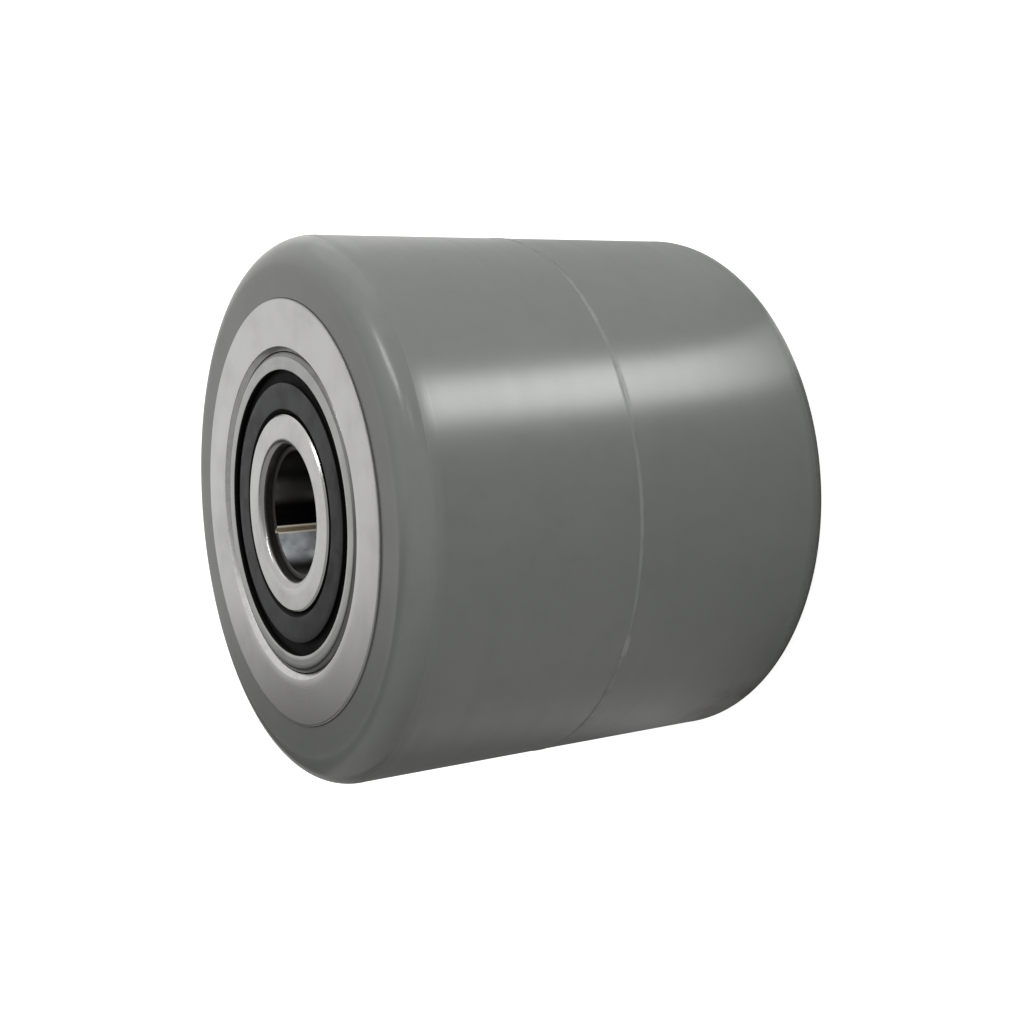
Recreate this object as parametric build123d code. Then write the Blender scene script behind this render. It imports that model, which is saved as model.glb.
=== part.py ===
from build123d import *

import os
from math import cos, radians, sin

# A load roller from the fork tip of a hand pallet truck: a polyurethane tyre bonded on a turned
# steel core, which runs on two sealed deep-groove ball bearings. Sizes are in millimetres. The
# axle's line is Z and the origin is the wheel's centre. Bearing a is at the +Z end and bearing b
# at the -Z end, and inside a bearing "outer" means the side that faces out of the wheel.

# Tyre and core
tyre_thickness = 9.0
seat_wall = 7.5  # of the core outside a bearing
wheel_width = 70.0  # over the core's two end faces
tyre_side_setback = 0.3  # the tyre's side lies this far below the core's end face
shoulder_radius = 4.8
shoulder_crease = 8.0  # degrees between the flat side and the start of the shoulder's curve
parting_ridge_width = 0.5
parting_ridge_height = 0.05
core_bore_diameter = 42.0  # between the bearing seats
core_edge_break = 0.3
seat_mouth_chamfer = 0.7
bearing_recess = 0.25  # ring faces below the core's end face

# Bearing of 20 x 47 x 14
bearing_bore = 20.0
bearing_diameter = 47.0
bearing_width = 14.0
ring_corner_radius = 1.0
ring_edge_break = 0.25
ball_diameter = 7.938
ball_count = 8
race_relief = 0.16  # raceway radius over the ball's own
ball_clearance = 0.05
inner_shoulder_height = 1.65  # of the inner ring's land above its raceway
outer_shoulder_height = 1.22

# Riveted ribbon cage
cage_sheet = 0.7
cage_width = 3.3
pocket_clearance = 0.15
rivet_diameter = 1.4
rivet_head_diameter = 2.4
rivet_head_height = 0.5
rivet_clearance = 0.02

# Rubber seal and its seat in the outer ring
seat_step = 1.25  # from the outer ring's land out to the mouth that the seal is pressed into
seat_groove_depth = 0.5
seat_groove_height = 0.7
seal_depth = 1.4  # from the ring face down to the shelf that the seal rests on
seal_setback = 0.3  # the seal's face below the ring face
seal_rim_width = 1.5
seal_rim_thickness = 0.55
seal_lip_width = 0.65
seal_lip_thickness = 0.4
seal_clearance = 0.05

# Spacer tube between the inner rings, and the rolled sleeve in their bores
spacer_wall = 2.6
spacer_clearance = 0.25
sleeve_wall = 0.95
sleeve_clearance = 0.02
sleeve_setback = 1.75  # the sleeve's end below the ring face
sleeve_edge_break = 0.2
seam_gap = 0.75

seat_radius = bearing_diameter / 2
core_radius = seat_radius + seat_wall
tread_radius = core_radius + tyre_thickness
core_end = wheel_width / 2
bore_radius = bearing_bore / 2
ring_face = bearing_width / 2  # from the bearing's own mid-plane
bearing_centre = core_end - bearing_recess - ring_face
seat_floor = bearing_centre - ring_face
pitch_radius = (bearing_bore + bearing_diameter) / 4
ball_radius = ball_diameter / 2
race_radius = ball_radius + race_relief
inner_race = pitch_radius - ball_radius - ball_clearance
outer_race = pitch_radius + ball_radius + ball_clearance
inner_land = inner_race + inner_shoulder_height
outer_land = outer_race - outer_shoulder_height
seat_mouth = outer_land + seat_step
seat_groove = seat_mouth + seat_groove_depth
seal_shelf = ring_face - seal_depth
ball_spacing = 360 / ball_count


def turned(section):
    """A full turn of a section drawn with its radius along X and its height along Z."""
    return revolve(Plane.XZ * section, axis=Axis.Z)


def bar(inside, outside, low, high):
    """One rectangle of a turned section, between two radii and two heights."""
    return Pos((inside + outside) / 2, (low + high) / 2) * Rectangle(outside - inside, high - low)


def outline(points):
    """A straight-sided section, from its corners as radius and height."""
    return make_face(Polyline(*points, close=True))


def corners(section, radius):
    """The corners of a turned section that lie at one radius."""
    return [corner for corner in section.vertices() if abs(corner.X - radius) < 0.001]


def tyre():
    """Flat sides, round shoulders, and a faint mould line round the middle of the tread."""
    side = core_end - tyre_side_setback
    crease = radians(shoulder_crease)
    curve_radius = tread_radius - shoulder_radius
    curve_height = side - shoulder_radius * cos(crease)
    crease_radius = curve_radius + shoulder_radius * sin(crease)
    middle = radians(45)
    middle_radius = curve_radius + shoulder_radius * cos(middle)
    middle_height = curve_height + shoulder_radius * sin(middle)
    ridge_foot = parting_ridge_width / 2
    ridge_crest = parting_ridge_width / 4
    ridge_radius = tread_radius + parting_ridge_height

    half = [
        Line((core_radius, 0), (core_radius, side)),
        Line((core_radius, side), (crease_radius, side)),
        ThreePointArc((crease_radius, side), (middle_radius, middle_height), (tread_radius, curve_height)),
        Line((tread_radius, curve_height), (tread_radius, ridge_foot)),
        Line((tread_radius, ridge_foot), (ridge_radius, ridge_crest)),
        Line((ridge_radius, ridge_crest), (ridge_radius, 0)),
    ]
    other_half = [edge.mirror(Plane.XZ) for edge in half]
    return turned(make_face(half + other_half))


def wheel_core():
    """A length of steel bar, bored through, with a seat for a bearing turned in each end."""
    section = bar(core_bore_diameter / 2, core_radius, -core_end, core_end)
    section = chamfer(corners(section, core_radius), core_edge_break)
    for low, high in ((seat_floor, core_end), (-core_end, -seat_floor)):
        section -= bar(0, seat_radius, low, high)
    mouths = [corner for corner in corners(section, seat_radius) if abs(abs(corner.Y) - core_end) < 0.001]
    return turned(chamfer(mouths, seat_mouth_chamfer))


def outer_ring():
    section = bar(outer_land, seat_radius, -ring_face, ring_face)
    section = fillet(corners(section, seat_radius), ring_corner_radius)
    section -= Pos(outer_race - race_radius, 0) * Circle(race_radius)
    for side in (1, -1):
        shelf, face = side * seal_shelf, side * ring_face
        groove_top = side * (seal_shelf + seat_groove_height)
        section -= bar(0, seat_mouth, min(shelf, face), max(shelf, face))
        section -= bar(0, seat_groove, min(shelf, groove_top), max(shelf, groove_top))
    return turned(section)


def inner_ring():
    section = bar(bore_radius, inner_land, -ring_face, ring_face)
    section = fillet(corners(section, bore_radius), ring_corner_radius)
    section = chamfer(corners(section, inner_land), ring_edge_break)
    section -= Pos(inner_race + race_radius, 0) * Circle(race_radius)
    return turned(section)


def seal(side):
    """A moulded ring: a rim pressed under the outer ring's lip, and a thin lip on the inner ring.
    side is 1 for the bearing's +Z face and -1 for its -Z face."""
    lip = inner_land + seal_clearance
    face = ring_face - seal_setback
    rim_top = seal_shelf + seal_rim_thickness
    rim_start = seat_mouth - seal_rim_width
    bead = seat_groove - seal_clearance
    lip_foot = seal_shelf + seal_clearance
    points = [
        (lip, lip_foot),
        (lip, lip_foot + seal_lip_thickness),
        (lip + seal_lip_width, face),
        (rim_start, face),
        (rim_start, rim_top),
        (bead, rim_top),
        (bead, seal_shelf),
        (lip + seal_lip_width, seal_shelf),
    ]
    return turned(outline([(radius, side * height) for radius, height in points]))


def on_pitch(angle):
    """A place on the circle of ball centres."""
    return Pos(pitch_radius * cos(radians(angle)), pitch_radius * sin(radians(angle)))


def ball(number):
    return on_pitch(number * ball_spacing) * Sphere(ball_radius)


def rivet_places():
    """Midway between the balls."""
    return [on_pitch((number + 0.5) * ball_spacing) for number in range(ball_count)]


def cage_half(side):
    """One pressed ribbon: round pockets over the balls, and flats between that meet the other half's."""
    pocket = ball_radius + pocket_clearance
    shell = pocket + cage_sheet
    inside, outside = pitch_radius - cage_width / 2, pitch_radius + cage_width / 2
    ribbon = turned(bar(inside, outside, min(0, side * shell), max(0, side * shell)))
    flats = turned(bar(inside, outside, min(0, side * cage_sheet), max(0, side * cage_sheet)))
    holes = Cylinder(rivet_diameter / 2 + rivet_clearance, 4 * cage_sheet)
    places = [on_pitch(number * ball_spacing) for number in range(ball_count)]
    half = flats + [ribbon & (place * Sphere(shell)) for place in places]
    half -= [place * Sphere(pocket) for place in places]
    half -= [place * holes for place in rivet_places()]
    return half


def cage_rivet():
    """A shank through both flats, with a domed head at each end."""
    shank, head = rivet_diameter / 2, rivet_head_diameter / 2
    top = cage_sheet + rivet_head_height
    half = [
        Line((0, 0), (shank, 0)),
        Line((shank, 0), (shank, cage_sheet)),
        Line((shank, cage_sheet), (head, cage_sheet)),
        TangentArc((0, top), (head, cage_sheet), tangent=(1, 0)),
        Line((0, top), (0, 0)),
    ]
    upper = turned(make_face(half))
    return upper + upper.mirror(Plane.XY)


def spacer_tube():
    """Keeps the two inner rings apart, face to face with both."""
    inside = bore_radius + spacer_clearance
    return turned(bar(inside, inside + spacer_wall, -seat_floor, seat_floor))


def bore_sleeve():
    """Sheet rolled into a tube, with its open seam on the -X side."""
    length = 2 * (bearing_centre + ring_face - sleeve_setback)
    outside = bore_radius - sleeve_clearance
    inside = outside - sleeve_wall
    section = Circle(outside) - Circle(inside) - Pos(-outside, 0) * Rectangle(4 * sleeve_wall, seam_gap)
    sleeve = extrude(section, length / 2, both=True)
    ends = sleeve.edges().filter_by(GeomType.CIRCLE)
    return chamfer(ends, sleeve_edge_break)


def bearing(letter, height, out):
    """Every piece of one bearing by name, with its mid-plane at the given height.
    out is 1 where the bearing's outer side faces +Z, and -1 where it faces -Z."""
    pieces = {
        "outer_ring": outer_ring(),
        "inner_ring": inner_ring(),
        "outer_seal": seal(out),
        "inner_seal": seal(-out),
        "cage_outer_half": cage_half(out),
        "cage_inner_half": cage_half(-out),
        "cage_rivets": Compound([place * cage_rivet() for place in rivet_places()]),
    }
    for number in range(ball_count):
        pieces[f"ball_{number + 1}"] = ball(number)
    return {f"bearing_{letter}_{name}": Pos(0, 0, height) * piece for name, piece in pieces.items()}


wheel = {
    "tyre": tyre(),
    "wheel_core": wheel_core(),
    "spacer_tube": spacer_tube(),
    "bore_sleeve": bore_sleeve(),
    **bearing("a", bearing_centre, 1),
    **bearing("b", -bearing_centre, -1),
}

os.makedirs("parts", exist_ok=True)
for name, piece in wheel.items():
    export_step(piece, f"parts/{name}.step")
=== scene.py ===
from math import acos, cos, degrees, pi, radians, sin

import bpy
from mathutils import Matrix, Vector


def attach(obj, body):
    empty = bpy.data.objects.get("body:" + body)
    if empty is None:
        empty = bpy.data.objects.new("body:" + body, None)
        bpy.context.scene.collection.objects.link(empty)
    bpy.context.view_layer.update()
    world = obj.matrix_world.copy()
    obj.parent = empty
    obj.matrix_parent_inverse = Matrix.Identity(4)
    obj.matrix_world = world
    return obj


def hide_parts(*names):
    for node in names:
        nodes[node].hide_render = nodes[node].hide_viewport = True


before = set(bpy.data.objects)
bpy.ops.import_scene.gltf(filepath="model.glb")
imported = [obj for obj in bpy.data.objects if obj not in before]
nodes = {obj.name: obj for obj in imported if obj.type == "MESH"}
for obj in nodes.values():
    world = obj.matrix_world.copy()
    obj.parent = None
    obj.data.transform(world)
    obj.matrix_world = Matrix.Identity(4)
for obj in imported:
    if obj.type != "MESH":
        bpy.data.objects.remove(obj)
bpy.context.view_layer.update()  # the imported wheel: axle along Z, standing on its -Z end
mm = 0.001
print("frame loaded,", len(nodes), "nodes")


# helpers for the shaders

def addNode(tree, kind, **settings):
    node = tree.nodes.new(kind)
    for key, value in settings.items():
        setattr(node, key, value)
    return node


def feed(tree, socket, value):
    # gives a socket a number, a colour or another node's output
    if isinstance(value, (int, float)):
        socket.default_value = value
    elif isinstance(value, tuple):
        socket.default_value = (*value, 1)
    else:
        tree.links.new(value, socket)


def mathNode(tree, operation, *values, clamp=False):
    node = addNode(tree, "ShaderNodeMath", operation=operation, use_clamp=clamp)
    for socket, value in zip(node.inputs, values):
        feed(tree, socket, value)
    return node.outputs[0]


def combine(tree, operation, *values):
    # one operation on any number of values, two at a time
    result = values[0]
    for value in values[1:]:
        result = mathNode(tree, operation, result, value)
    return result


def mixColour(tree, mask, first, second):
    node = addNode(tree, "ShaderNodeMix", data_type="RGBA")
    for index, value in ((0, mask), (6, first), (7, second)):
        feed(tree, node.inputs[index], value)
    return node.outputs[2]


def spread(tree, mask, low, high):
    # a mask of 0 to 1 turned into a number between two values
    return mathNode(tree, "ADD", mathNode(tree, "MULTIPLY", mask, high - low), low)


def smoothRamp(tree, value, ends, levels=(0.0, 1.0)):
    # goes softly from the first level to the second while the value passes between the ends
    node = addNode(tree, "ShaderNodeMapRange", interpolation_type="SMOOTHSTEP")
    feed(tree, node.inputs["Value"], value)
    for socketName, setting in zip(("From Min", "From Max", "To Min", "To Max"), (*ends, *levels)):
        feed(tree, node.inputs[socketName], setting)
    return node.outputs[0]


def levelAround(tree, azimuth, stops):
    # a level that changes round the axle, through a few stops of (degrees, level)
    low, high = -180, 180
    node = addNode(tree, "ShaderNodeValToRGB")
    elements = node.color_ramp.elements
    elements.remove(elements[1])
    for index, (at, level) in enumerate(stops):
        element = elements[0] if index == 0 else elements.new((at - low) / (high - low))
        element.color = (level, level, level, 1)
    scaled = addNode(tree, "ShaderNodeMapRange")
    for socketName, setting in (("Value", azimuth), ("From Min", low), ("From Max", high)):
        feed(tree, scaled.inputs[socketName], setting)
    tree.links.new(scaled.outputs[0], node.inputs[0])
    return node.outputs[0]


def noise(tree, vector, scale, detail, roughness=0.5):
    node = addNode(tree, "ShaderNodeTexNoise")
    tree.links.new(vector, node.inputs["Vector"])
    for socketName, value in (("Scale", scale), ("Detail", detail), ("Roughness", roughness)):
        feed(tree, node.inputs[socketName], value)
    return node.outputs["Fac"]


def axleCoordinates(tree):
    # the place on the piece in millimetres, as one vector, by its parts, and as a distance from the axle
    place = addNode(tree, "ShaderNodeVectorMath", operation="SCALE")
    place.inputs["Scale"].default_value = 1 / mm
    tree.links.new(addNode(tree, "ShaderNodeTexCoord").outputs["Object"], place.inputs[0])
    parts = addNode(tree, "ShaderNodeSeparateXYZ")
    tree.links.new(place.outputs[0], parts.inputs[0])
    x, y, z = parts.outputs
    squared = mathNode(tree, "ADD", mathNode(tree, "MULTIPLY", x, x), mathNode(tree, "MULTIPLY", y, y))
    return {"place": place.outputs[0], "x": x, "y": y, "z": z, "radius": mathNode(tree, "SQRT", squared)}


def azimuthDegrees(tree, x, y):
    return mathNode(tree, "DEGREES", mathNode(tree, "ARCTAN2", y, x))


def newGroup(name, inputs, outputs):
    group = bpy.data.node_groups.new(name, "ShaderNodeTree")
    for socketName, value in inputs.items():
        socket = group.interface.new_socket(socketName, in_out="INPUT", socket_type="NodeSocketFloat")
        socket.default_value = value
    for socketName in outputs:
        group.interface.new_socket(socketName, in_out="OUTPUT", socket_type="NodeSocketFloat")
    return group, addNode(group, "NodeGroupInput").outputs, addNode(group, "NodeGroupOutput").inputs


def useGroup(tree, group, values):
    node = addNode(tree, "ShaderNodeGroup", node_tree=group)
    for socketName, value in values.items():
        feed(tree, node.inputs[socketName], value)
    return node.outputs


# effects shared by several finishes

latheTool = {
    "fineDetail": 3, "fineRoughness": 0.7, "fineShare": 0.6,
    "broadScale": 0.22, "broadDetail": 2,
    "otherEnd": 40,  # sets the pattern of one end apart from that of the other
}


def turningMarksGroup():
    # fine rings left by the lathe tool, that run round the axle and come and go a little
    look = latheTool
    inputs = {"Lines per mm": 3.0, "Round": 0.04, "Contrast": 1.0}
    group, given, made = newGroup("turningMarks", inputs, ("Height", "Streak"))
    spot = axleCoordinates(group)
    across = addNode(group, "ShaderNodeCombineXYZ")
    along = mathNode(group, "SUBTRACT", spot["radius"], mathNode(group, "ABSOLUTE", spot["z"]))
    aside = mathNode(group, "MULTIPLY", mathNode(group, "SIGN", spot["z"]), look["otherEnd"])
    feed(group, across.inputs[0], mathNode(group, "MULTIPLY", along, given["Lines per mm"]))
    feed(group, across.inputs[1], mathNode(group, "MULTIPLY", spot["x"], given["Round"]))
    sideways = mathNode(group, "MULTIPLY", spot["y"], given["Round"])
    feed(group, across.inputs[2], mathNode(group, "ADD", sideways, aside))
    fine = noise(group, across.outputs[0], 1, look["fineDetail"], look["fineRoughness"])
    broad = noise(group, across.outputs[0], look["broadScale"], look["broadDetail"])
    mixed = mathNode(group, "ADD", mathNode(group, "MULTIPLY", fine, look["fineShare"]),
                     mathNode(group, "MULTIPLY", broad, 1 - look["fineShare"]))
    centred = mathNode(group, "MULTIPLY", mathNode(group, "SUBTRACT", mixed, 0.5), given["Contrast"])
    feed(group, made["Height"], fine)
    feed(group, made["Streak"], mathNode(group, "ADD", centred, 0.5, clamp=True))
    return group


cloudNoise = {"detail": 4, "roughness": 0.55}


def cloudGroup():
    # soft blotches of handling, oil film and uneven moulding
    group, given, made = newGroup("clouds", {"Size mm": 12.0, "Low": 0.4, "High": 0.7}, ("Mask",))
    scale = mathNode(group, "DIVIDE", 1, given["Size mm"])
    cloud = noise(group, axleCoordinates(group)["place"], scale, **cloudNoise)
    feed(group, made["Mask"], smoothRamp(group, cloud, (given["Low"], given["High"])))
    return group


def specksGroup():
    # small pits and dust specks, scattered with most of the cells left clean
    group, given, made = newGroup("specks", {"Size mm": 1.2, "Share": 0.1, "Reach": 0.22}, ("Mask",))
    cells = addNode(group, "ShaderNodeTexVoronoi", feature="F1")
    cells.inputs["Randomness"].default_value = 1
    feed(group, cells.inputs["Scale"], mathNode(group, "DIVIDE", 1, given["Size mm"]))
    feed(group, cells.inputs["Vector"], axleCoordinates(group)["place"])
    chosen = addNode(group, "ShaderNodeSeparateColor")
    feed(group, chosen.inputs[0], cells.outputs["Color"])
    kept = mathNode(group, "LESS_THAN", chosen.outputs[0], given["Share"])
    near = mathNode(group, "LESS_THAN", cells.outputs["Distance"], given["Reach"])
    feed(group, made["Mask"], mathNode(group, "MULTIPLY", kept, near))
    return group


def bandGroup():
    # 1 at a chosen value, and 0 beyond a soft edge on both sides of it
    inputs = {"Value": 0.0, "At": 0.0, "Half width": 1.0, "Softness": 0.5}
    group, given, made = newGroup("band", inputs, ("Mask",))
    away = mathNode(group, "ABSOLUTE", mathNode(group, "SUBTRACT", given["Value"], given["At"]))
    edge = mathNode(group, "ADD", given["Half width"], given["Softness"])
    feed(group, made["Mask"], smoothRamp(group, away, (given["Half width"], edge), (1.0, 0.0)))
    return group


turningMarks = turningMarksGroup()
clouds = cloudGroup()
specks = specksGroup()
band = bandGroup()


def marksOf(tree, lines, around, contrast):
    marks = useGroup(tree, turningMarks, {"Lines per mm": lines, "Round": around, "Contrast": contrast})
    return marks["Height"], marks["Streak"]


def cloudMask(tree, size, low, high):
    return useGroup(tree, clouds, {"Size mm": size, "Low": low, "High": high})[0]


def speckMask(tree, size, share, reach):
    return useGroup(tree, specks, {"Size mm": size, "Share": share, "Reach": reach})[0]


def bandMask(tree, value, at, half, soft):
    return useGroup(tree, band, {"Value": value, "At": at, "Half width": half, "Softness": soft})[0]


def tint(tree, mask, amount, colour, over):
    # lays a colour over another by a share of a mask
    return mixColour(tree, mathNode(tree, "MULTIPLY", mask, amount), colour, over)


def newFinish(name, sockets):
    # a material with a Principled shader, whose plain numbers are set on its own sockets
    material = bpy.data.materials.new(name)
    material.use_nodes = True
    shader = material.node_tree.nodes["Principled BSDF"]
    for socketName, value in sockets.items():
        shader.inputs[socketName].default_value = value
    return material, material.node_tree, shader


def roundTangent(tree, shader):
    tangent = addNode(tree, "ShaderNodeTangent", direction_type="RADIAL", axis="Z")
    tree.links.new(tangent.outputs[0], shader.inputs["Tangent"])


def bumpFrom(tree, shader, height, strength, depth):
    bump = addNode(tree, "ShaderNodeBump")
    bump.inputs["Strength"].default_value = strength
    bump.inputs["Distance"].default_value = depth * mm
    tree.links.new(height, bump.inputs["Height"])
    tree.links.new(bump.outputs[0], shader.inputs["Normal"])


print("shared effects ready")


# finishes; each bump is its strength and its depth in millimetres

tyreFinish = {
    "colour": (0.150, 0.156, 0.146), "pale": (0.172, 0.178, 0.166), "dark": (0.128, 0.134, 0.126),
    "blotches": {"size": 22.0, "low": 0.3, "high": 0.72}, "blotchAmount": 0.5,
    "freckles": {"size": 3.0, "low": 0.48, "high": 0.75}, "freckleAmount": 0.3,
    "scuff": (0.085, 0.066, 0.052), "scuffAmount": 0.75,
    "scuffAround": {"at": -79.0, "half": 5.0, "soft": 9.0},  # in degrees
    "scuffAlong": {"at": -29.0, "half": 2.5, "soft": 7.0},
    "scuffBreaks": {"size": 4.0, "low": 0.42, "high": 0.62},
    "specular": 0.5,
}

treadFinish = {
    "anisotropic": 0.85, "anisotropicTurn": 0.25, "roughness": (0.31, 0.45), "bump": (0.35, 0.02),
    "marks": {"lines": 2.6, "around": 0.05, "contrast": 1.4}, "markShade": 0.16,
    "dust": {"size": 2.6, "share": 0.04, "reach": 0.07}, "dustAmount": 0.2, "dustColour": (0.4, 0.4, 0.38),
}

mouldedFinish = {
    "paintedSideShade": 0.72,         # painted shade: the flat sides are a little darker than the tread
    "sideEnds": (34.0, 38.5),  # and pass into its colour between these radii
    "film": {"size": 7.0, "low": 0.35, "high": 0.7}, "pits": {"size": 1.7, "share": 0.08, "reach": 0.09},
    "roughness": (0.18, 0.27), "bump": (0.12, 0.03),
}

mouldLineFinish = {
    "colour": (0.250, 0.255, 0.240), "roughness": (0.56, 0.42), "bump": (0.2, 0.03),
    # how much of the pale colour shows, by the direction from the axle in degrees
    "paleness": ((-180, 0.30), (-140, 0.10), (-100, 0.25), (-80, 0.0), (-66, 0.25), (-58, 0.25),
                 (-54.5, 0.0), (-51, 0.9), (-48, 0.9), (-45.5, 0.15), (-38, 0.5), (-30, 0.42), (-18, 0.5),
                 (-11, 0.35), (-7, 0.0), (10, 0.0), (15, 0.35), (21, 0.75), (30, 0.65), (37, 0.1),
                 (100, 0.3), (150, 0.1), (180, 0.30)),
    "line": {"at": 0.0, "half": 0.144, "soft": 0.288},
    "lump": {"at": -0.15, "half": 0.35, "soft": 0.1},  # a thicker place on the line
    "lumpAround": {"at": -49.5, "half": 1.8, "soft": 1.4},
    "breaks": {"size": 2.2, "low": 0.36, "high": 0.58}, "breakLevels": (0.6, 1.0),
}


def tyreBase(tree):
    # the moulded colour with its blotches, and the brownish rub near the far shoulder, low on the tread
    look = tyreFinish
    spot = axleCoordinates(tree)
    azimuth = azimuthDegrees(tree, spot["x"], spot["y"])
    blotches = cloudMask(tree, **look["blotches"])
    freckles = cloudMask(tree, **look["freckles"])
    scuff = combine(tree, "MULTIPLY", bandMask(tree, azimuth, **look["scuffAround"]),
                    bandMask(tree, spot["z"], **look["scuffAlong"]), cloudMask(tree, **look["scuffBreaks"]))
    colour = tint(tree, blotches, look["blotchAmount"], look["colour"], look["pale"])
    colour = tint(tree, freckles, look["freckleAmount"], colour, look["dark"])
    colour = tint(tree, scuff, look["scuffAmount"], colour, look["scuff"])
    return colour, spot, azimuth


def tyreSockets():
    look = treadFinish
    return {"Anisotropic": look["anisotropic"], "Anisotropic Rotation": look["anisotropicTurn"],
            "Specular IOR Level": tyreFinish["specular"]}


def treadMaterial():
    look = treadFinish
    material, tree, shader = newFinish("castUrethaneTread", tyreSockets())
    colour = tyreBase(tree)[0]
    height, streak = marksOf(tree, **look["marks"])
    colour = tint(tree, streak, look["markShade"], colour, tyreFinish["dark"])
    colour = tint(tree, speckMask(tree, **look["dust"]), look["dustAmount"], colour, look["dustColour"])
    feed(tree, shader.inputs["Base Color"], colour)
    feed(tree, shader.inputs["Roughness"], spread(tree, streak, *look["roughness"]))
    roundTangent(tree, shader)
    bumpFrom(tree, shader, height, *look["bump"])
    return material


def smoothTyreMaterial():
    look = mouldedFinish
    material, tree, shader = newFinish("castUrethaneMoulded", {"Specular IOR Level": tyreFinish["specular"]})
    colour, spot = tyreBase(tree)[:2]
    outward = smoothRamp(tree, spot["radius"], look["sideEnds"], (look["paintedSideShade"], 1.0))
    film = cloudMask(tree, **look["film"])
    pits = speckMask(tree, **look["pits"])
    feed(tree, shader.inputs["Base Color"], mixColour(tree, outward, (0.0, 0.0, 0.0), colour))
    feed(tree, shader.inputs["Roughness"], spread(tree, film, *look["roughness"]))
    bumpFrom(tree, shader, mathNode(tree, "SUBTRACT", film, pits), *look["bump"])
    return material


def mouldLineMaterial():
    # the parting ridge: rubbed pale in places, and the tyre's own grey in others
    look = mouldLineFinish
    material, tree, shader = newFinish("castUrethaneMouldLine", tyreSockets())
    colour, spot, azimuth = tyreBase(tree)
    broken = cloudMask(tree, **look["breaks"])
    line = mathNode(tree, "MULTIPLY", bandMask(tree, spot["z"], **look["line"]),
                    spread(tree, broken, *look["breakLevels"]))
    lump = mathNode(tree, "MULTIPLY", bandMask(tree, spot["z"], **look["lump"]),
                    bandMask(tree, azimuth, **look["lumpAround"]))
    pale = mathNode(tree, "MULTIPLY", mathNode(tree, "MAXIMUM", line, lump),
                    levelAround(tree, azimuth, look["paleness"]))
    feed(tree, shader.inputs["Base Color"], mixColour(tree, pale, colour, look["colour"]))
    feed(tree, shader.inputs["Roughness"], spread(tree, broken, *look["roughness"]))
    roundTangent(tree, shader)
    bumpFrom(tree, shader, broken, *look["bump"])
    return material


steelFinishes = {
    "turnedSteel": {"colour": (0.60, 0.595, 0.575), "worn": (0.46, 0.455, 0.44), "roughness": (0.23, 0.32),
                    "lines": 4.5, "bump": 0.16, "anisotropic": 0.45, "blotch": 9.0},
    "groundSteel": {"colour": (0.60, 0.595, 0.575), "worn": (0.47, 0.465, 0.45), "roughness": (0.22, 0.32),
                    "lines": 8.0, "bump": 0.08, "anisotropic": 0.4, "blotch": 5.0},
    "outerRingSteel": {"colour": (0.43, 0.43, 0.42), "worn": (0.34, 0.335, 0.325), "roughness": (0.24, 0.34),
                       "lines": 7.0, "bump": 0.10, "anisotropic": 0.4, "blotch": 4.0},
    # painted shade: the outer ring's outer corner is darker, in the gap beside the core
    "ringCornerPaintedShade": {"colour": (0.24, 0.238, 0.23), "worn": (0.15, 0.147, 0.14), "roughness": (0.30, 0.42),
                   "lines": 7.0, "bump": 0.10, "anisotropic": 0.3, "blotch": 3.0},
    # painted shade: the inner ring's bore corner is a little darker, at the mouth of the bore
    "boreCornerPaintedShade": {"colour": (0.52, 0.515, 0.50), "worn": (0.40, 0.395, 0.38), "roughness": (0.24, 0.34),
                   "lines": 7.0, "bump": 0.10, "anisotropic": 0.4, "blotch": 3.0},
    # painted shade: the outer ring's wall beside the seal, black as a shadowed groove
    "seatWallPaintedShade": {"colour": (0.035, 0.034, 0.033), "worn": (0.02, 0.02, 0.02), "roughness": (0.45, 0.6),
                 "lines": 5.0, "bump": 0.10, "anisotropic": 0.0, "blotch": 3.0},
    "mouthSteel": {"colour": (0.68, 0.675, 0.65), "worn": (0.44, 0.435, 0.42), "roughness": (0.24, 0.38),
                   "lines": 2.4, "bump": 0.25, "anisotropic": 0.3, "blotch": 1.6},
    # painted shade: a darker, rougher copy of the turned steel, so the core's outer edge shows no bright line
    "edgeSteelPaintedShade": {"colour": (0.50, 0.495, 0.48), "worn": (0.38, 0.375, 0.36), "roughness": (0.50, 0.62),
                  "lines": 4.0, "bump": 0.12, "anisotropic": 0.0, "blotch": 5.0},
    "tubeSteel": {"colour": (0.36, 0.35, 0.335), "worn": (0.22, 0.20, 0.18), "roughness": (0.34, 0.5),
                  "lines": 3.0, "bump": 0.25, "anisotropic": 0.3, "blotch": 6.0},
    "ballSteel": {"colour": (0.70, 0.70, 0.69), "worn": (0.62, 0.62, 0.61), "roughness": (0.06, 0.12),
                  "lines": 1.2, "bump": 0.02, "anisotropic": 0.0, "blotch": 2.5},
    "cageSteel": {"colour": (0.50, 0.49, 0.46), "worn": (0.36, 0.34, 0.30), "roughness": (0.28, 0.42),
                  "lines": 6.0, "bump": 0.10, "anisotropic": 0.3, "blotch": 2.0},
    "rivetSteel": {"colour": (0.46, 0.45, 0.43), "worn": (0.30, 0.29, 0.27), "roughness": (0.25, 0.38),
                   "lines": 2.0, "bump": 0.12, "anisotropic": 0.0, "blotch": 0.8},
}
steelWear = {
    "around": 0.06, "contrast": 1.2, "filmLow": 0.38, "filmHigh": 0.75, "filmLevels": (0.2, 0.7),
    "pits": {"size": 1.1, "share": 0.05, "reach": 0.08}, "pitAmount": 0.8, "bumpDepth": 0.02,
}


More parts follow.
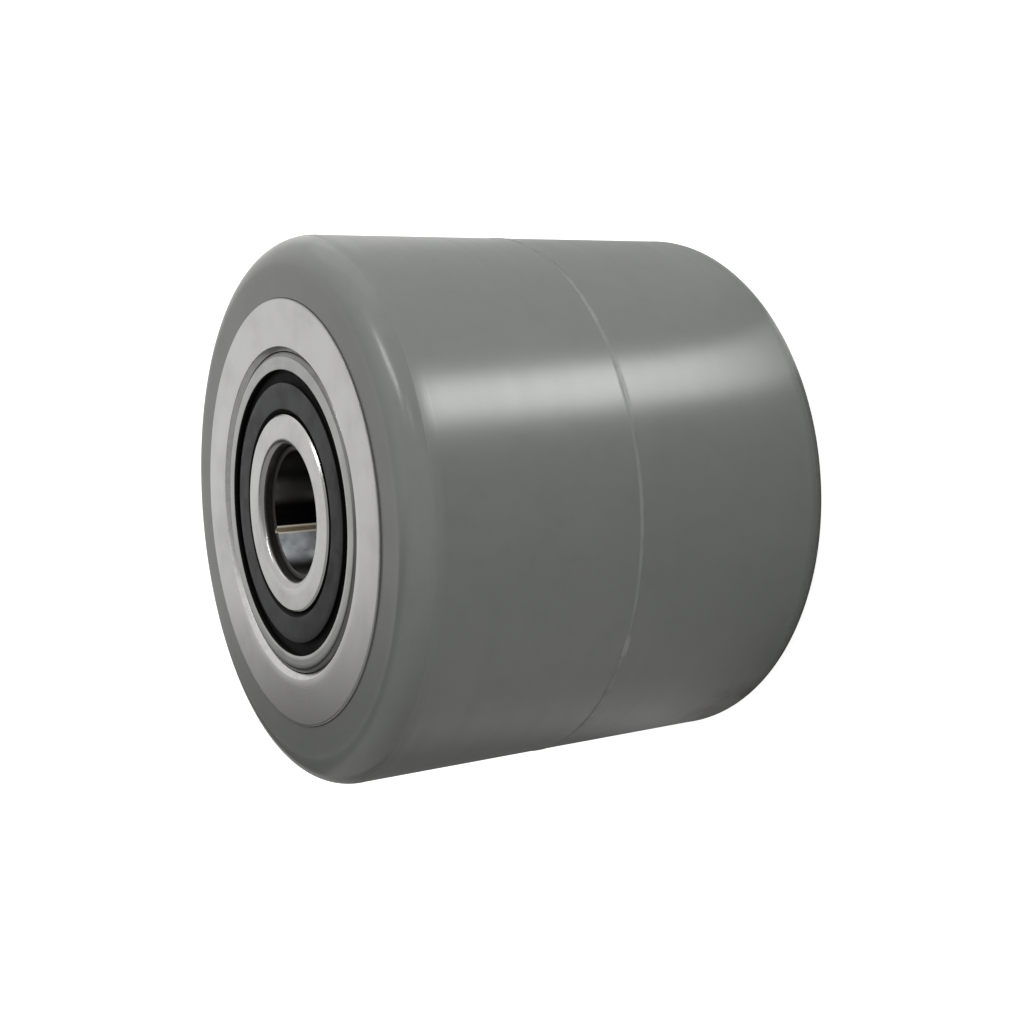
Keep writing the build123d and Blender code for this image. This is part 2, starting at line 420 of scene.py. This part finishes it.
def steelMaterial(name):
    look, wear = steelFinishes[name], steelWear
    material, tree, shader = newFinish(name, {"Metallic": 1.0, "Anisotropic": look["anisotropic"]})
    height, streak = marksOf(tree, look["lines"], wear["around"], wear["contrast"])
    film = cloudMask(tree, look["blotch"], wear["filmLow"], wear["filmHigh"])
    pits = speckMask(tree, **wear["pits"])
    worn = mathNode(tree, "MULTIPLY", film, spread(tree, streak, *wear["filmLevels"]))
    worn = mathNode(tree, "MAXIMUM", worn, mathNode(tree, "MULTIPLY", pits, wear["pitAmount"]))
    feed(tree, shader.inputs["Base Color"], mixColour(tree, worn, look["colour"], look["worn"]))
    feed(tree, shader.inputs["Roughness"],
         spread(tree, mathNode(tree, "MULTIPLY", film, streak), *look["roughness"]))
    if look["anisotropic"]:
        roundTangent(tree, shader)
    bumpFrom(tree, shader, mathNode(tree, "SUBTRACT", height, pits), look["bump"], wear["bumpDepth"])
    return material


sealFinishes = {
    "rubber": {"colour": (0.020, 0.021, 0.021), "dust": (0.060, 0.059, 0.055), "speck": (0.20, 0.19, 0.18),
               "paintedShade": (0.004, 0.004, 0.004), "roughness": (0.46, 0.64), "specular": 0.35},
    # painted shade: near-black rubber in the grooves beside the lip and the rim
    "rubberGroovePaintedShade": {"colour": (0.003, 0.003, 0.003), "dust": (0.008, 0.008, 0.007),
                     "speck": (0.03, 0.03, 0.03), "paintedShade": (0.003, 0.003, 0.003),
                     "roughness": (0.6, 0.75), "specular": 0.1},
}
sealWear = {
    "film": {"size": 3.5, "low": 0.4, "high": 0.75}, "filmAmount": 0.3,
    "specks": {"size": 0.9, "share": 0.12, "reach": 0.09}, "speckAmount": 0.5,
    "paintedShadeAround": {"at": -50.0, "half": 42.0, "soft": 34.0}, "paintedShadeAmount": 0.8,  # painted shade on one side of the seal, placed by the direction in degrees
    "grainScale": 5, "grainDetail": 3, "bump": (0.25, 0.04),
}


def sealMaterial(name):
    look, wear = sealFinishes[name], sealWear
    material, tree, shader = newFinish(name, {"Specular IOR Level": look["specular"]})
    spot = axleCoordinates(tree)
    film = cloudMask(tree, **wear["film"])
    # painted shade: the seal is darker on one side, by its direction from the axle
    paintedShadeAround = bandMask(tree, azimuthDegrees(tree, spot["x"], spot["y"]), **wear["paintedShadeAround"])
    colour = tint(tree, film, wear["filmAmount"], look["colour"], look["dust"])
    colour = tint(tree, speckMask(tree, **wear["specks"]), wear["speckAmount"], colour, look["speck"])
    colour = tint(tree, paintedShadeAround, wear["paintedShadeAmount"], colour, look["paintedShade"])
    feed(tree, shader.inputs["Base Color"], colour)
    feed(tree, shader.inputs["Roughness"], spread(tree, film, *look["roughness"]))
    bumpFrom(tree, shader, noise(tree, spot["place"], wear["grainScale"], wear["grainDetail"]), *wear["bump"])
    return material


sleeveFinish = {
    "dark": (0.060, 0.056, 0.052), "film": (0.030, 0.027, 0.024),  # the dark inside
    "filmClouds": {"size": 4.0, "low": 0.35, "high": 0.7}, "filmAmount": 0.6,
    "bright": (0.50, 0.53, 0.55),                                  # painted pool of light beside the seam, matt so that the strip lamp lights it too
    "paintedLightAt": {"at": -2.0, "half": 1.9, "soft": 3.0}, "paintedLightLevels": (1.0, 0.55),
    "smear": (0.15, 0.145, 0.14),
    "smearAt": {"at": 5.6, "half": 0.4, "soft": 1.8}, "smearLevels": (0.5, 1.0),
    # painted highlight: the bright tan line where the seam's cut edge catches the light
    "seam": (0.62, 0.57, 0.46), "seamAt": {"at": 0.0, "half": 0.55, "soft": 0.18},
    # painted shade: the sleeve's ends, deep in the bore, are near black
    "end": (0.016, 0.014, 0.012), "endFrom": 32.8,
    "drawn": (2.2, 2.2, 0.08), "drawnDetail": 4,                   # marks along the axle, as rolled strip has
    "roughness": (0.30, 0.46), "bump": (0.3, 0.03),
}


def seamMask(tree, spot):
    # the line of the seam, on the -X side of the bore
    line = bandMask(tree, spot["y"], **sleeveFinish["seamAt"])
    return mathNode(tree, "MULTIPLY", line, mathNode(tree, "LESS_THAN", spot["x"], 0))


def drawnMarks(tree, spot):
    stretched = addNode(tree, "ShaderNodeMapping")
    stretched.inputs["Scale"].default_value = sleeveFinish["drawn"]
    tree.links.new(spot["place"], stretched.inputs["Vector"])
    return noise(tree, stretched.outputs[0], 1, sleeveFinish["drawnDetail"])


def sleeveMaterial():
    look = sleeveFinish
    material, tree, shader = newFinish("rolledStrip", {})
    spot = axleCoordinates(tree)
    drawn = drawnMarks(tree, spot)
    film = cloudMask(tree, **look["filmClouds"])
    seamSide = mathNode(tree, "LESS_THAN", spot["x"], 0)
    below = mathNode(tree, "LESS_THAN", spot["y"], 0)
    # painted light: a pool of light on the lower wall beside the seam
    bright = combine(tree, "MULTIPLY", bandMask(tree, spot["y"], **look["paintedLightAt"]), seamSide, below,
                     spread(tree, film, *look["paintedLightLevels"]))
    smear = combine(tree, "MULTIPLY", bandMask(tree, spot["y"], **look["smearAt"]), seamSide,
                    spread(tree, film, *look["smearLevels"]))
    # painted highlight along the seam
    seam = seamMask(tree, spot)
    # painted shade on the ends of the sleeve
    ends = mathNode(tree, "GREATER_THAN", mathNode(tree, "ABSOLUTE", spot["z"]), look["endFrom"])
    colour = tint(tree, film, look["filmAmount"], look["dark"], look["film"])
    for mask, name in ((smear, "smear"), (bright, "bright"), (seam, "seam"), (ends, "end")):
        colour = mixColour(tree, mask, colour, look[name])
    matt = combine(tree, "MAXIMUM", bright, seam, ends, smear)
    feed(tree, shader.inputs["Base Color"], colour)
    feed(tree, shader.inputs["Metallic"], mathNode(tree, "SUBTRACT", 1, matt, clamp=True))
    feed(tree, shader.inputs["Roughness"], spread(tree, drawn, *look["roughness"]))
    bumpFrom(tree, shader, drawn, *look["bump"])
    return material


darkBoreFinish = {
    "colour": (0.17, 0.162, 0.148), "darkerBlotch": (0.10, 0.094, 0.084),
    "film": {"size": 3.0, "low": 0.35, "high": 0.7}, "roughness": (0.38, 0.5), "bump": (0.1, 0.03),
}


def ringBoreMaterial():
    # dark, brownish bore of an inner ring, with darker blotches; the sleeve's open seam shows a strip of it
    look = darkBoreFinish
    material, tree, shader = newFinish("darkRingBore", {})
    spot = axleCoordinates(tree)
    film = cloudMask(tree, **look["film"])
    covered = mathNode(tree, "LESS_THAN", mathNode(tree, "ABSOLUTE", spot["z"]), sleeveFinish["endFrom"])
    # painted highlight: the seam's bright line on the strip of bore that the gap shows
    seam = mathNode(tree, "MULTIPLY", seamMask(tree, spot), covered)
    colour = mixColour(tree, film, look["colour"], look["darkerBlotch"])
    feed(tree, shader.inputs["Base Color"], mixColour(tree, seam, colour, sleeveFinish["seam"]))
    feed(tree, shader.inputs["Metallic"], mathNode(tree, "SUBTRACT", 1, seam, clamp=True))
    feed(tree, shader.inputs["Roughness"], spread(tree, film, *look["roughness"]))
    bumpFrom(tree, shader, film, *look["bump"])
    return material


finishes = {name: steelMaterial(name) for name in steelFinishes}
finishes["tread"] = treadMaterial()
finishes["smoothTyre"] = smoothTyreMaterial()
finishes["mouldLine"] = mouldLineMaterial()
finishes["rubber"] = sealMaterial("rubber")
finishes["rubberGroovePaintedShade"] = sealMaterial("rubberGroovePaintedShade")
finishes["sleeve"] = sleeveMaterial()
finishes["ringBore"] = ringBoreMaterial()
print("finishes ready:", len(finishes))


# turned pieces; a section is a list of (radius, height) in millimetres

def arc(centre, radius, start, end, steps):
    # points on a circle of a turned section, in degrees from the outward direction
    angles = [radians(start + (end - start) * i / steps) for i in range(steps + 1)]
    return [(centre[0] + radius * cos(a), centre[1] + radius * sin(a)) for a in angles]


def run(first, last, steps):
    # evenly spaced points after the first, up to the last
    return [(first[0] + (last[0] - first[0]) * i / steps, first[1] + (last[1] - first[1]) * i / steps)
            for i in range(1, steps + 1)]


def mirrored(section):
    return [(r, -z) for r, z in reversed(section)]


weld = 0.002 * mm  # points closer than this become one
smoothAngle = 35   # faces that meet at less than this many degrees are shaded smooth


def turnPiece(name, section, steps, height=0.0, flip=1):
    # draws the closed section as an edge loop beside the axle, then spins it a full turn
    section = [(r * mm, (height + flip * z) * mm) for r, z in section]
    bpy.ops.object.select_all(action="DESELECT")
    r, z = section[0]
    bpy.ops.mesh.primitive_plane_add(size=mm, location=(r, 0, z))
    piece = bpy.context.active_object
    piece.name = name
    piece.data.name = name
    bpy.ops.object.mode_set(mode="EDIT")
    bpy.ops.mesh.merge(type="CENTER")
    for nextR, nextZ in section[1:] + section[:1]:
        bpy.ops.mesh.extrude_region_move(TRANSFORM_OT_translate={"value": (nextR - r, 0, nextZ - z)})
        r, z = nextR, nextZ
    bpy.ops.mesh.select_all(action="SELECT")
    bpy.ops.mesh.remove_doubles(threshold=weld)
    bpy.ops.mesh.spin(steps=steps, angle=2 * pi, center=(0, 0, 0), axis=(0, 0, 1))
    bpy.ops.mesh.select_all(action="SELECT")
    bpy.ops.mesh.remove_doubles(threshold=weld)
    bpy.ops.mesh.normals_make_consistent(inside=False)
    bpy.ops.object.mode_set(mode="OBJECT")
    bpy.ops.object.transform_apply(location=True, rotation=True, scale=True)
    return piece


def finishPiece(piece):
    bpy.ops.object.select_all(action="DESELECT")
    bpy.context.view_layer.objects.active = piece
    piece.select_set(True)
    bpy.ops.object.shade_smooth_by_angle(angle=radians(smoothAngle))
    bpy.ops.object.modifier_add(type="WEIGHTED_NORMAL")
    piece.modifiers[-1].keep_sharp = True
    bpy.ops.object.modifier_apply(modifier=piece.modifiers[-1].name)


def paintFaces(piece, *rules):
    # the first material covers the piece, and each later one the faces that its test picks
    for material, test in rules:
        piece.data.materials.append(material)
    for face in piece.data.polygons:
        centre = face.center
        r, z = centre.xy.length / mm, centre.z / mm
        for index, (material, test) in enumerate(rules):
            if test is None or test(r, z):
                face.material_index = index


def place(piece, body, slotName, *replaced):
    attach(piece, body)
    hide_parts(*replaced)


tyre = {
    "bore": 31.0, "radius": 40.0, "side": 34.7, "shoulder": 4.8, "crease": 8.0,
    "steps": 384, "shoulderSteps": 18, "sideSteps": 4, "treadSteps": 12,
    "flash": (0.12, 0.1),     # the moulding's edge beside the core, across and down
    "sideMargin": 0.25,       # the flat side ends this far before the crease
    "step": 0.02,             # the tread lies this far below the shoulder's end
    "stepEnds": (0.12, 0.2),  # and drops between these distances from it
    "ridgeWidth": 0.5, "ridgeHeight": 0.05,
    "ridgeShape": ((0.8, 1.3), (1.0, 0.5), (1.0, 0.0)),  # shares of its height and of its crest
    "ridgeApron": 0.3,        # of the tread on both sides, with the mould line's finish
    "turnedTo": 20.0,         # the tread's finish reaches this many degrees up the shoulder
    "treadFrom": 39.5, "lineFrom": 39.9,
}


def buildTyre():
    t = tyre
    centre = (t["radius"] - t["shoulder"], t["side"] - t["shoulder"] * cos(radians(t["crease"])))
    tread = t["radius"] - t["step"]
    ridgeFoot, ridgeCrest = t["ridgeWidth"] / 2, t["ridgeWidth"] / 4
    apron = ridgeFoot + t["ridgeApron"]
    half = [(t["bore"], 0.0), (t["bore"], t["side"] - t["flash"][1]), (t["bore"] + t["flash"][0], t["side"])]
    shoulder = arc(centre, t["shoulder"], 90 - t["crease"], 0, t["shoulderSteps"])
    half += run(half[-1], (shoulder[0][0] - t["sideMargin"], t["side"]), t["sideSteps"])
    half += shoulder
    half += [(t["radius"], centre[1] - t["stepEnds"][0]), (tread, centre[1] - t["stepEnds"][1])]
    half += run(half[-1], (tread, apron), t["treadSteps"])
    half += [(tread, ridgeFoot)]
    half += [(t["radius"] + t["ridgeHeight"] * up, ridgeCrest * out) for up, out in t["ridgeShape"]]
    section = half + mirrored(half)[1:-1]
    piece = turnPiece("polyurethaneTyre", section, t["steps"])
    shoulderEnd = centre[1] + t["shoulder"] * sin(radians(t["turnedTo"]))
    paintFaces(piece, (finishes["smoothTyre"], None),
               (finishes["tread"], lambda r, z: r > t["treadFrom"] and abs(z) < shoulderEnd),
               (finishes["mouldLine"], lambda r, z: r > t["lineFrom"] and abs(z) < apron))
    finishPiece(piece)
    place(piece, "wheel", "tyre", "tyre")


core = {
    "radius": 31.0, "end": 35.0, "bore": 21.0, "seat": 23.5, "seatFloor": 20.75, "mouth": 0.7,
    "steps": 320, "faceSteps": 6, "edgeSteps": 4,
    "floorBreak": 0.2, "edgeBreak": 0.15, "faceMargin": 0.2, "edgeRun": 1.0,
    "mouthEase": ((-0.08, -0.08), (0.06, -0.01)),  # rounds the chamfer into the end face
    "mouthReach": 0.12, "finishFrom": 34.0,
}


def buildCore():
    c = core
    mouth = c["seat"] + c["mouth"]
    edge = c["radius"] - c["edgeBreak"]
    half = [(c["bore"], 0.0), (c["bore"], c["seatFloor"] - c["floorBreak"]),
            (c["bore"] + c["floorBreak"], c["seatFloor"]),
            (c["seat"], c["seatFloor"]), (c["seat"], c["end"] - c["mouth"])]
    half += [(mouth + across, c["end"] + up) for across, up in c["mouthEase"]]
    half += run((mouth + c["faceMargin"], c["end"]), (edge - c["faceMargin"], c["end"]), c["faceSteps"])
    half += arc((edge, c["end"] - c["edgeBreak"]), c["edgeBreak"], 90, 0, c["edgeSteps"])
    half += [(c["radius"], c["end"] - c["edgeRun"])]
    section = half + [(c["radius"], 0.0)] + mirrored(half)[:-1]
    piece = turnPiece("turnedCore", section, c["steps"])

    def onMouth(r, z):
        return c["seat"] < r < mouth + c["mouthReach"] and abs(z) > c["finishFrom"]

    def onEdge(r, z):
        return r > edge and abs(z) > c["finishFrom"]

    paintFaces(piece, (finishes["turnedSteel"], None), (finishes["mouthSteel"], onMouth),
               (finishes["edgeSteelPaintedShade"], onEdge))
    finishPiece(piece)
    place(piece, "wheel", "turned_steel", "wheel_core")


ring = {
    "centre": 27.75, "face": 7.0, "bore": 10.0, "outside": 23.5, "corner": 1.0, "edge": 0.12,
    "edgeBreak": 0.25, "innerRace": 12.731, "innerLand": 14.381, "outerRace": 20.769, "outerLand": 19.549,
    "raceRadius": 4.129, "mouth": 20.799, "groove": 21.299, "shelf": 5.6, "grooveTop": 6.3,
    "outerSteps": 320, "innerSteps": 256, "raceSteps": 10, "faceSteps": 3, "edgeSteps": 3, "cornerSteps": 8,
    # shares of the corner and the edge that the finishes of painted shade take, and the bore's in millimetres
    "cornerShare": 0.8, "edgeShare": 0.6, "boreReach": 0.06,
}


def raceHalf(centreRadius, landRadius, side):
    # the upper half of a raceway, from its deepest point up to the land; side 1 bulges outward
    top = degrees(acos(abs(landRadius - centreRadius) / ring["raceRadius"]))
    points = arc((centreRadius, 0.0), ring["raceRadius"], 0, top, ring["raceSteps"])
    return points if side > 0 else [(2 * centreRadius - r, z) for r, z in points]


def buildOuterRing(letter, height):
    g = ring
    half = raceHalf(g["outerRace"] - g["raceRadius"], g["outerLand"], 1)
    half += [(g["outerLand"], g["shelf"]), (g["groove"], g["shelf"]), (g["groove"], g["grooveTop"]),
             (g["mouth"], g["grooveTop"]), (g["mouth"], g["face"] - g["edge"])]
    half += arc((g["mouth"] + g["edge"], g["face"] - g["edge"]), g["edge"], 180, 90, g["edgeSteps"])[1:]
    cornerCentre = (g["outside"] - g["corner"], g["face"] - g["corner"])
    half += run(half[-1], (cornerCentre[0], g["face"]), g["faceSteps"])
    half += arc(cornerCentre, g["corner"], 90, 0, g["cornerSteps"])[1:]
    section = half + [(g["outside"], 0.0)] + mirrored(half)[:-1]
    piece = turnPiece("outerRing" + letter, section, g["outerSteps"], height)
    cornerFrom = g["outside"] - g["corner"] * g["cornerShare"]
    wallTo = g["mouth"] + g["edge"] * g["edgeShare"]
    # painted shade on the outer corner and on the wall beside the seal
    paintFaces(piece, (finishes["outerRingSteel"], None),
               (finishes["ringCornerPaintedShade"], lambda r, z: r > cornerFrom),
               (finishes["seatWallPaintedShade"], lambda r, z: g["outerLand"] < r < wallTo))
    finishPiece(piece)
    place(piece, "wheel", "bearing_steel", f"bearing_{letter.lower()}_outer_ring")


def buildInnerRing(letter, height):
    g = ring
    half = raceHalf(g["innerRace"] + g["raceRadius"], g["innerLand"], -1)
    half += [(g["innerLand"], g["face"] - g["edgeBreak"]), (g["innerLand"] - g["edgeBreak"], g["face"])]
    cornerCentre = (g["bore"] + g["corner"], g["face"] - g["corner"])
    half += run(half[-1], (cornerCentre[0], g["face"]), g["faceSteps"])
    half += arc(cornerCentre, g["corner"], 90, 180, g["cornerSteps"])[1:]
    section = half + [(g["bore"], 0.0)] + mirrored(half)[:-1]
    piece = turnPiece("innerRing" + letter, section, g["innerSteps"], height)
    paintFaces(piece, (finishes["groundSteel"], None),
               (finishes["boreCornerPaintedShade"], lambda r, z: r < cornerCentre[0]),
               (finishes["ringBore"], lambda r, z: r < g["bore"] + g["boreReach"]))
    finishPiece(piece)
    place(piece, "bearing_core", "bearing_steel", f"bearing_{letter.lower()}_inner_ring")


seal = {
    "lip": 14.431, "lipFoot": 5.65, "lipThickness": 0.4, "lipWidth": 0.65, "face": 6.82, "shelf": 5.6,
    "rimStart": 18.95, "rimTop": 6.15, "bead": 21.249, "edge": 0.12,
    "steps": 288, "slopeSteps": 3, "faceSteps": 4, "edgeSteps": 4,
    "lipEase": 0.06, "slopeEase": (0.05, 0.08), "rimEase": 0.1,
    "grooveReach": (0.1, 0.02),  # of the grooves' painted shade over the raised part, inside and outside
}


def buildSeal(letter, height, out):
    s = seal
    edge, ease, lipEase = s["edge"], s["rimEase"], s["lipEase"]
    lipTop, lipEnd = s["lipFoot"] + s["lipThickness"], s["lip"] + s["lipWidth"]
    section = [(s["lip"], s["lipFoot"]), (s["lip"], lipTop - lipEase), (s["lip"] + lipEase, lipTop)]
    section += [(lipEnd - s["slopeEase"][0], s["face"] - s["slopeEase"][1])]
    section += arc((lipEnd + edge, s["face"] - edge), edge, 150, 90, s["slopeSteps"])
    section += run(section[-1], (s["rimStart"] - edge, s["face"]), s["faceSteps"])
    section += arc((s["rimStart"] - edge, s["face"] - edge), edge, 90, 0, s["edgeSteps"])[1:]
    section += [(s["rimStart"], s["rimTop"] + ease), (s["rimStart"] + ease, s["rimTop"]),
                (s["bead"] - ease, s["rimTop"]), (s["bead"], s["rimTop"] - ease),
                (s["bead"], s["shelf"]), (lipEnd, s["shelf"])]
    piece = turnPiece("seal" + letter, section, s["steps"], height, out)
    grooveInside, grooveOutside = lipEnd + s["grooveReach"][0], s["rimStart"] - s["grooveReach"][1]
    paintFaces(piece, (finishes["rubber"], None),
               (finishes["rubberGroovePaintedShade"], lambda r, z: r > grooveOutside or r < grooveInside))
    finishPiece(piece)
    place(piece, "wheel", "seal_rubber", f"bearing_{letter.lower()}_outer_seal")


buildTyre()
print("tyre turned")
buildCore()
print("core turned")
for letter, out in (("A", 1), ("B", -1)):
    buildOuterRing(letter, out * ring["centre"])
    buildInnerRing(letter, out * ring["centre"])
    buildSeal(letter, out * ring["centre"], out)
print("bearing rings and seals turned")


# CAD nodes that stay, with their finishes

ballCount = 8
keptNodes = {"bore_sleeve": "sleeve", "spacer_tube": "tubeSteel"}
for letter in "ab":
    keptNodes[f"bearing_{letter}_inner_seal"] = "rubber"
    keptNodes[f"bearing_{letter}_cage_outer_half"] = "cageSteel"
    keptNodes[f"bearing_{letter}_cage_inner_half"] = "cageSteel"
    keptNodes[f"bearing_{letter}_cage_rivets"] = "rivetSteel"
    for number in range(1, ballCount + 1):
        keptNodes[f"bearing_{letter}_ball_{number}"] = "ballSteel"

for name, finishName in keptNodes.items():
    for item in nodes[name].material_slots:
        item.material = finishes[finishName]
print("finishes given to", len(keptNodes), "kept nodes")


# floor, light and camera; directions from the axle are in degrees

floor = {
    "height": -35.02, "size": 8.0, "shade": (0.80, 0.80, 0.80), "seen": 0.87,
    # painted light and shade that polished faces see in the floor, by its direction from the axle
    "mirrored": ((-180, 0.20), (-150, 0.05), (-129, 0.05), (-108, 0.28), (-74, 0.26), (-40, 0.04),
                 (-6, 0.0), (44, 0.30), (75, 0.26), (98, 0.30), (112, 0.47), (132, 0.42), (156, 0.22),
                 (180, 0.18)),
    "mirroredScale": 2.6,
    "paintedNearShadow": (38.0, 62.0),   # painted shadow at these distances beside the wheel,
    "paintedSunnySide": (-25.0, 25.0),  # but not on the +Y side, which is painted lit
    "streak": 14.8,              # a painted glowing streak, which the tread shows as its highlight
    "streakAt": {"at": 20.6, "half": 4.5, "soft": 6.5},
    "streakStart": (32.0, 100.0), "streakEnd": (240.0, 360.0),
    "streakTurn": 4.5,           # it leans by this much near the wheel,
    "turnEnds": (42.0, 115.0),   # and straightens between these distances
}


def mirroredLevel(tree, spot):
    # painted light and shade of the floor, seen only in polished faces
    azimuth = azimuthDegrees(tree, spot["x"], spot["y"])
    paintedLit = mathNode(tree, "MAXIMUM", smoothRamp(tree, spot["radius"], floor["paintedNearShadow"]),
                   smoothRamp(tree, spot["y"], floor["paintedSunnySide"]))
    level = combine(tree, "MULTIPLY", levelAround(tree, azimuth, floor["mirrored"]),
                    floor["mirroredScale"], paintedLit)
    turned = smoothRamp(tree, spot["radius"], floor["turnEnds"], (floor["streakTurn"], 0.0))
    streak = bandMask(tree, mathNode(tree, "ADD", azimuth, turned), **floor["streakAt"])
    start = smoothRamp(tree, spot["radius"], floor["streakStart"])
    end = smoothRamp(tree, spot["radius"], floor["streakEnd"], (1.0, 0.0))
    return mathNode(tree, "ADD", level, combine(tree, "MULTIPLY", streak, start, end, floor["streak"]))


def buildFloor():
    # white to the camera where no shadow falls
    bpy.ops.object.select_all(action="DESELECT")
    bpy.ops.mesh.primitive_plane_add(size=floor["size"], location=(0, 0, floor["height"] * mm))
    piece = bpy.context.active_object
    piece.name = "studioFloor"
    bpy.ops.object.transform_apply(location=True, rotation=True, scale=True)
    material = bpy.data.materials.new("paleFloor")
    material.use_nodes = True
    tree = material.node_tree
    tree.nodes.clear()
    result = addNode(tree, "ShaderNodeOutputMaterial")
    ray = addNode(tree, "ShaderNodeLightPath").outputs
    matt = addNode(tree, "ShaderNodeBsdfDiffuse")
    feed(tree, matt.inputs["Color"], floor["shade"])
    glow = addNode(tree, "ShaderNodeEmission")
    feed(tree, glow.inputs["Strength"], mathNode(tree, "MULTIPLY", ray["Is Camera Ray"], floor["seen"]))
    both = addNode(tree, "ShaderNodeAddShader")
    feed(tree, both.inputs[0], matt.outputs[0])
    feed(tree, both.inputs[1], glow.outputs[0])
    # painted reflection: glossy rays see the floor glow by place
    paintedReflection = addNode(tree, "ShaderNodeEmission")
    feed(tree, paintedReflection.inputs["Strength"], mirroredLevel(tree, axleCoordinates(tree)))
    choice = addNode(tree, "ShaderNodeMixShader")
    polished = mathNode(tree, "MAXIMUM", ray["Is Glossy Ray"], ray["Is Transmission Ray"])
    for socket, value in zip(choice.inputs, (polished, both.outputs[0], paintedReflection.outputs[0])):
        feed(tree, socket, value)
    feed(tree, result.inputs["Surface"], choice.outputs[0])
    material.cycles.emission_sampling = "NONE"
    piece.data.materials.append(material)


# the wall and the dark gap beside it stand at directions from the -X side
room = {
    "dim": 0.37,
    "bright": 0.45, "wall": {"at": -65.0, "half": 52.0, "soft": 4.5},
    "shade": 0.30, "gap": {"at": 3.5, "half": 8.0, "soft": 6.0},
}


def buildRoom():
    # a dim studio with one wide bright wall, that the camera sees as white
    world = bpy.data.worlds.new("studioRoom")
    bpy.context.scene.world = world
    world.use_nodes = True
    tree = world.node_tree
    background = tree.nodes["Background"]
    opposite = addNode(tree, "ShaderNodeVectorMath", operation="SCALE")
    opposite.inputs["Scale"].default_value = -1
    tree.links.new(addNode(tree, "ShaderNodeTexCoord").outputs["Generated"], opposite.inputs[0])
    parts = addNode(tree, "ShaderNodeSeparateXYZ")
    tree.links.new(opposite.outputs[0], parts.inputs[0])
    azimuth = azimuthDegrees(tree, parts.outputs[0], parts.outputs[1])
    wall = bandMask(tree, azimuth, **room["wall"])
    gap = bandMask(tree, azimuth, **room["gap"])
    level = spread(tree, wall, room["dim"], room["dim"] + room["bright"])
    level = mathNode(tree, "SUBTRACT", level, mathNode(tree, "MULTIPLY", gap, room["shade"]))
    seen = addNode(tree, "ShaderNodeLightPath").outputs["Is Camera Ray"]
    feed(tree, background.inputs["Color"], (1, 1, 1))
    feed(tree, background.inputs["Strength"], mathNode(tree, "MAXIMUM", seen, level))


# distances, heights and sizes in metres
lamps = {
    "stripLamp": {"azimuth": 28, "distance": 0.62, "height": 0.36, "aim": 0.03, "size": (0.03, 0.62),
                  "watts": 3.0, "glints": False},
    "keySoftbox": {"azimuth": 95, "distance": 0.75, "height": 0.10, "aim": 0.10, "size": (0.6, 0.5),
                   "watts": 0.3, "glints": True},
    "shoulderWindow": {"azimuth": 57, "distance": 0.56, "height": 0.66, "aim": 0.03, "size": (0.38, 0.08),
                       "watts": 0.9, "glints": True},
    "glintLamp": {"azimuth": 22.6, "distance": 0.65, "height": 0.49, "aim": 0.03, "size": (0.03, 0.03),
                  "watts": 0.09, "glints": True},
}


def buildLamps():
    for name, look in lamps.items():
        turn = radians(look["azimuth"])
        spot = Vector((cos(turn) * look["distance"], sin(turn) * look["distance"], look["height"]))
        aim = Vector((0, 0, look["aim"]))
        bpy.ops.object.light_add(type="AREA", location=spot)
        lamp = bpy.context.active_object
        lamp.name = name
        lamp.rotation_euler = (spot - aim).to_track_quat("Z", "Y").to_euler()
        lamp.data.shape = "RECTANGLE"
        lamp.data.size, lamp.data.size_y = look["size"]
        lamp.data.energy = look["watts"]
        lamp.visible_camera = False
        lamp.visible_glossy = look["glints"]


camera = {"location": (0.19709, -0.05464, 0.11873), "rotation": (-8.422, 58.793, -24.562), "lens": 52.869,
          "sensor": 36, "nearest": 0.01}


def buildCamera():
    bpy.ops.object.camera_add(location=camera["location"], rotation=[radians(a) for a in camera["rotation"]])
    eye = bpy.context.active_object
    eye.name = "photoCamera"
    eye.data.lens = camera["lens"]
    eye.data.sensor_width = camera["sensor"]
    eye.data.clip_start = camera["nearest"]
    bpy.context.scene.camera = eye


buildFloor()
buildRoom()
buildLamps()
buildCamera()
bpy.context.scene.view_settings.view_transform = "Standard"
print("stage ready")
